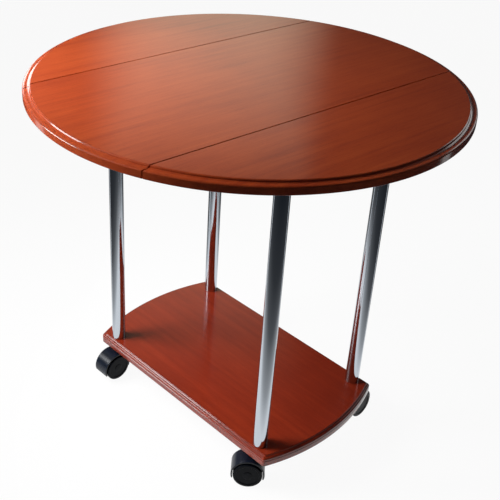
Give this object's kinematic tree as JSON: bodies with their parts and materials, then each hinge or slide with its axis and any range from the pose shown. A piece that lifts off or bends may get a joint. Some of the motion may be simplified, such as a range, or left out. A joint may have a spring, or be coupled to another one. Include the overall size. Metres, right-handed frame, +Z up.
{
  "type": "room service table",
  "caption": "Round service table in three hinged panels, turning on a pivot over a rectangular base with tube legs, a lower shelf with bowed ends and twin-wheel casters.",
  "frame": {"origin": "on the floor under the pivot, at the centre of the footprint", "axes": "+Z up, +X along the lower shelf's long side towards the right leaf, +Y across the shelf towards the back"},
  "size_m": [0.84, 0.84, 0.77],
  "materials": {
    "lacquered_wood": "glossy red-brown lacquer",
    "painted_board": "dark matt stain",
    "chromed_tube": "polished",
    "zinc_steel": "zinc plated",
    "black_nylon": "moulded, slightly glossy",
    "white_nylon": "plain"
  },
  "bodies": {
    "base": {"lower_shelf": "lacquered_wood", "carrier_board": "painted_board", "leg_tube_front_left": "chromed_tube", "leg_tube_front_right": "chromed_tube", "leg_tube_back_right": "chromed_tube", "leg_tube_back_left": "chromed_tube", "glide_strips": "white_nylon", "carrier_plate": "zinc_steel", "thrust_pad": "white_nylon", "caster_stems": "zinc_steel"},
    "round_top": {"centre_panel": "lacquered_wood", "pivot_plate": "zinc_steel", "pivot_bolt": "zinc_steel", "pivot_locknut": "zinc_steel", "hinge_panel_plates": "zinc_steel"},
    "right_leaf": {"leaf_right": "lacquered_wood", "hinge_leaf_plates_right": "zinc_steel"},
    "left_leaf": {"leaf_left": "lacquered_wood", "hinge_leaf_plates_left": "zinc_steel"},
    "caster_front_left": {"caster_hood_front_left": "black_nylon"},
    "wheel_1_front_left": {"caster_wheel_1_front_left": "black_nylon"},
    "wheel_2_front_left": {"caster_wheel_2_front_left": "black_nylon"},
    "caster_front_right": {"caster_hood_front_right": "black_nylon"},
    "wheel_1_front_right": {"caster_wheel_1_front_right": "black_nylon"},
    "wheel_2_front_right": {"caster_wheel_2_front_right": "black_nylon"},
    "caster_back_right": {"caster_hood_back_right": "black_nylon"},
    "wheel_1_back_right": {"caster_wheel_1_back_right": "black_nylon"},
    "wheel_2_back_right": {"caster_wheel_2_back_right": "black_nylon"},
    "caster_back_left": {"caster_hood_back_left": "black_nylon"},
    "wheel_1_back_left": {"caster_wheel_1_back_left": "black_nylon"},
    "wheel_2_back_left": {"caster_wheel_2_back_left": "black_nylon"}
  },
  "joints": [
    {"name": "top_swivel", "type": "hinge", "parent": "base", "child": "round_top", "pos_m": [0, 0, 0.75], "axis": [0, 0, 1], "continuous": true},
    {"name": "right_leaf_hinge", "type": "hinge", "parent": "round_top", "child": "right_leaf", "pos_m": [0.18505, -0.01424, 0.7467], "axis": [-0.0767, -0.9971, 0], "range_deg": [0, 5]},
    {"name": "left_leaf_hinge", "type": "hinge", "parent": "round_top", "child": "left_leaf", "pos_m": [-0.19772, 0.01521, 0.7467], "axis": [0.0767, 0.9971, 0], "range_deg": [0, 5]},
    {"name": "caster_swivel_front_left", "type": "hinge", "parent": "base", "child": "caster_front_left", "pos_m": [-0.2275, -0.146, 0.06], "axis": [0, 0, 1], "continuous": true},
    {"name": "wheel_1_spin_front_left", "type": "hinge", "parent": "caster_front_left", "child": "wheel_1_front_left", "pos_m": [-0.2275, -0.166, 0.03], "axis": [1, 0, 0], "continuous": true},
    {"name": "wheel_2_spin_front_left", "type": "hinge", "parent": "caster_front_left", "child": "wheel_2_front_left", "pos_m": [-0.2275, -0.166, 0.03], "axis": [1, 0, 0], "continuous": true},
    {"name": "caster_swivel_front_right", "type": "hinge", "parent": "base", "child": "caster_front_right", "pos_m": [0.2275, -0.146, 0.06], "axis": [0, 0, 1], "continuous": true},
    {"name": "wheel_1_spin_front_right", "type": "hinge", "parent": "caster_front_right", "child": "wheel_1_front_right", "pos_m": [0.21264, -0.15938, 0.03], "axis": [0.6691, -0.7431, 0], "continuous": true},
    {"name": "wheel_2_spin_front_right", "type": "hinge", "parent": "caster_front_right", "child": "wheel_2_front_right", "pos_m": [0.21264, -0.15938, 0.03], "axis": [0.6691, -0.7431, 0], "continuous": true},
    {"name": "caster_swivel_back_right", "type": "hinge", "parent": "base", "child": "caster_back_right", "pos_m": [0.2275, 0.146, 0.06], "axis": [0, 0, 1], "continuous": true},
    {"name": "wheel_1_spin_back_right", "type": "hinge", "parent": "caster_back_right", "child": "wheel_1_back_right", "pos_m": [0.2275, 0.166, 0.03], "axis": [-1, 0, 0], "continuous": true},
    {"name": "wheel_2_spin_back_right", "type": "hinge", "parent": "caster_back_right", "child": "wheel_2_back_right", "pos_m": [0.2275, 0.166, 0.03], "axis": [-1, 0, 0], "continuous": true},
    {"name": "caster_swivel_back_left", "type": "hinge", "parent": "base", "child": "caster_back_left", "pos_m": [-0.2275, 0.146, 0.06], "axis": [0, 0, 1], "continuous": true},
    {"name": "wheel_1_spin_back_left", "type": "hinge", "parent": "caster_back_left", "child": "wheel_1_back_left", "pos_m": [-0.21112, 0.15747, 0.03], "axis": [-0.5736, 0.8192, 0], "continuous": true},
    {"name": "wheel_2_spin_back_left", "type": "hinge", "parent": "caster_back_left", "child": "wheel_2_back_left", "pos_m": [-0.21112, 0.15747, 0.03], "axis": [-0.5736, 0.8192, 0], "continuous": true}
  ]
}
